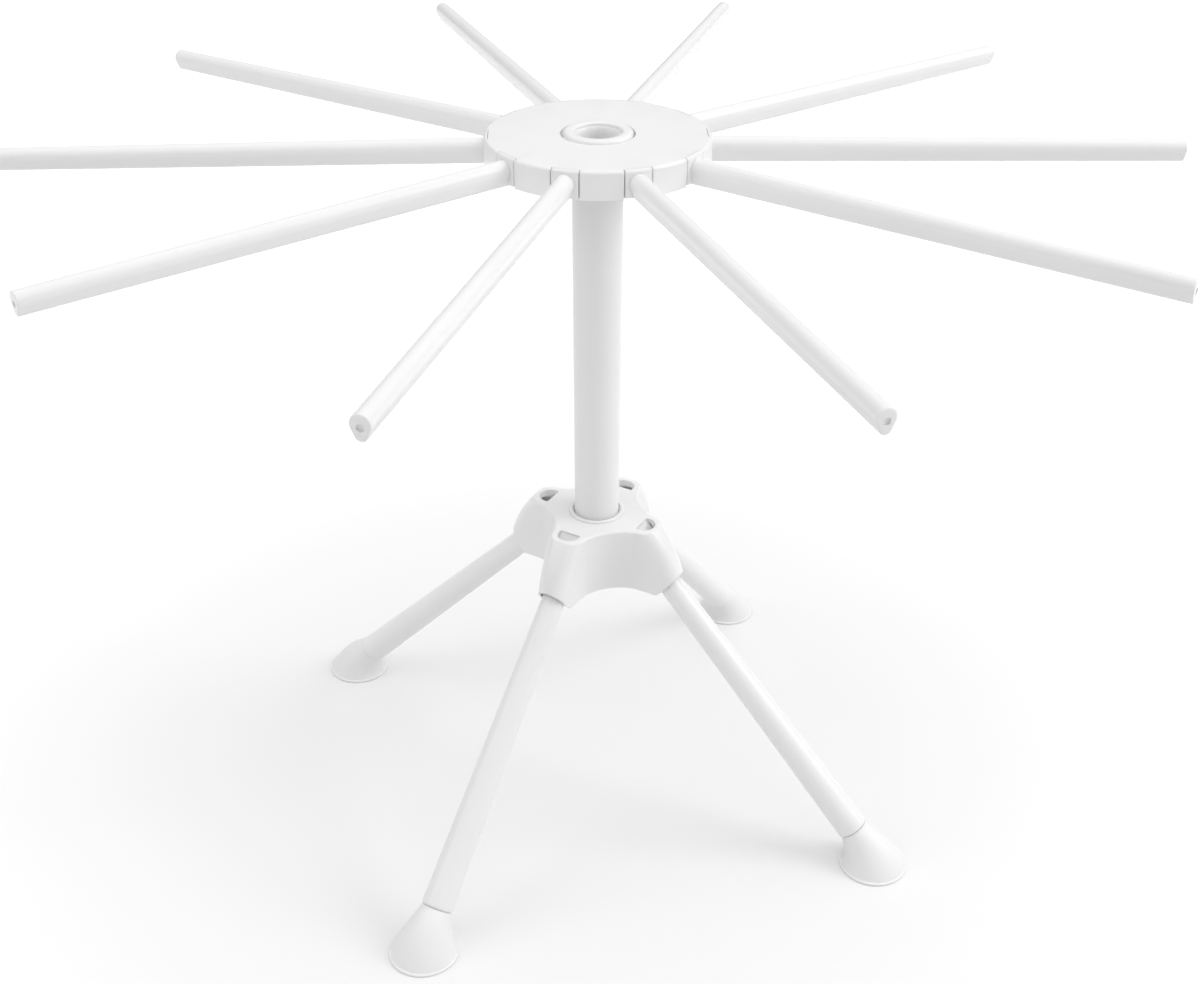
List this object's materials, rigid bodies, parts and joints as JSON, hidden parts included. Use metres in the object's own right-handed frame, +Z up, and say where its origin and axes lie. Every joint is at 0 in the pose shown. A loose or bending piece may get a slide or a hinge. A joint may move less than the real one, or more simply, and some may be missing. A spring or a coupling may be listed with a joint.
{
  "type": "pasta drying rack",
  "caption": "Free-standing collapsible rack for drying fresh pasta: folding arms spread like spokes from a round hub on a slim column, over a lobed base with folding splayed legs.",
  "frame": {"origin": "on the surface the rack stands on, below the axis of the column", "axes": "+Z up along the column, +X along the first arm"},
  "size_m": [0.42, 0.4012, 0.2848],
  "materials": {
    "white_plastic": "satin injection-moulded white plastic",
    "foot_plastic": "slightly softer white plastic with a dull surface",
    "pin_steel": "plain drawn steel pins"
  },
  "bodies": {
    "frame": {"column": "white_plastic", "hub": "white_plastic", "base": "white_plastic", "arm_pin_01": "pin_steel", "arm_pin_02": "pin_steel", "arm_pin_03": "pin_steel", "arm_pin_04": "pin_steel", "arm_pin_05": "pin_steel", "arm_pin_06": "pin_steel", "arm_pin_07": "pin_steel", "arm_pin_08": "pin_steel", "arm_pin_09": "pin_steel", "arm_pin_10": "pin_steel", "leg_pin_1": "pin_steel", "leg_pin_2": "pin_steel", "leg_pin_3": "pin_steel", "leg_pin_4": "pin_steel"},
    "arm_01_body": {"arm_01": "white_plastic"},
    "arm_02_body": {"arm_02": "white_plastic"},
    "arm_03_body": {"arm_03": "white_plastic"},
    "arm_04_body": {"arm_04": "white_plastic"},
    "arm_05_body": {"arm_05": "white_plastic"},
    "arm_06_body": {"arm_06": "white_plastic"},
    "arm_07_body": {"arm_07": "white_plastic"},
    "arm_08_body": {"arm_08": "white_plastic"},
    "arm_09_body": {"arm_09": "white_plastic"},
    "arm_10_body": {"arm_10": "white_plastic"},
    "leg_1_body": {"leg_1": "white_plastic", "foot_1": "foot_plastic"},
    "leg_2_body": {"leg_2": "white_plastic", "foot_2": "foot_plastic"},
    "leg_3_body": {"leg_3": "white_plastic", "foot_3": "foot_plastic"},
    "leg_4_body": {"leg_4": "white_plastic", "foot_4": "foot_plastic"}
  },
  "joints": [
    {"name": "arm_01_fold", "type": "hinge", "parent": "frame", "child": "arm_01_body", "pos_m": [0.034, 0, 0.27811], "axis": [0, 1, 0], "range_deg": [0, 84]},
    {"name": "arm_02_fold", "type": "hinge", "parent": "frame", "child": "arm_02_body", "pos_m": [0.02751, 0.01998, 0.27811], "axis": [-0.5878, 0.809, 0], "range_deg": [0, 84]},
    {"name": "arm_03_fold", "type": "hinge", "parent": "frame", "child": "arm_03_body", "pos_m": [0.01051, 0.03234, 0.27811], "axis": [-0.9511, 0.309, 0], "range_deg": [0, 84]},
    {"name": "arm_04_fold", "type": "hinge", "parent": "frame", "child": "arm_04_body", "pos_m": [-0.01051, 0.03234, 0.27811], "axis": [-0.9511, -0.309, 0], "range_deg": [0, 84]},
    {"name": "arm_05_fold", "type": "hinge", "parent": "frame", "child": "arm_05_body", "pos_m": [-0.02751, 0.01998, 0.27811], "axis": [-0.5878, -0.809, 0], "range_deg": [0, 84]},
    {"name": "arm_06_fold", "type": "hinge", "parent": "frame", "child": "arm_06_body", "pos_m": [-0.034, 0, 0.27811], "axis": [0, -1, 0], "range_deg": [0, 84]},
    {"name": "arm_07_fold", "type": "hinge", "parent": "frame", "child": "arm_07_body", "pos_m": [-0.02751, -0.01998, 0.27811], "axis": [0.5878, -0.809, 0], "range_deg": [0, 84]},
    {"name": "arm_08_fold", "type": "hinge", "parent": "frame", "child": "arm_08_body", "pos_m": [-0.01051, -0.03234, 0.27811], "axis": [0.9511, -0.309, 0], "range_deg": [0, 84]},
    {"name": "arm_09_fold", "type": "hinge", "parent": "frame", "child": "arm_09_body", "pos_m": [0.01051, -0.03234, 0.27811], "axis": [0.9511, 0.309, 0], "range_deg": [0, 84]},
    {"name": "arm_10_fold", "type": "hinge", "parent": "frame", "child": "arm_10_body", "pos_m": [0.02751, -0.01998, 0.27811], "axis": [0.5878, 0.809, 0], "range_deg": [0, 84]},
    {"name": "leg_1_fold", "type": "hinge", "parent": "frame", "child": "leg_1_body", "pos_m": [0.01325, 0.0212, 0.11341], "axis": [-0.848, 0.5299, 0], "range_deg": [0, 44]},
    {"name": "leg_2_fold", "type": "hinge", "parent": "frame", "child": "leg_2_body", "pos_m": [-0.0212, 0.01325, 0.11341], "axis": [-0.5299, -0.848, 0], "range_deg": [0, 44]},
    {"name": "leg_3_fold", "type": "hinge", "parent": "frame", "child": "leg_3_body", "pos_m": [-0.01325, -0.0212, 0.11341], "axis": [0.848, -0.5299, 0], "range_deg": [0, 44]},
    {"name": "leg_4_fold", "type": "hinge", "parent": "frame", "child": "leg_4_body", "pos_m": [0.0212, -0.01325, 0.11341], "axis": [0.5299, 0.848, 0], "range_deg": [0, 44]}
  ]
}
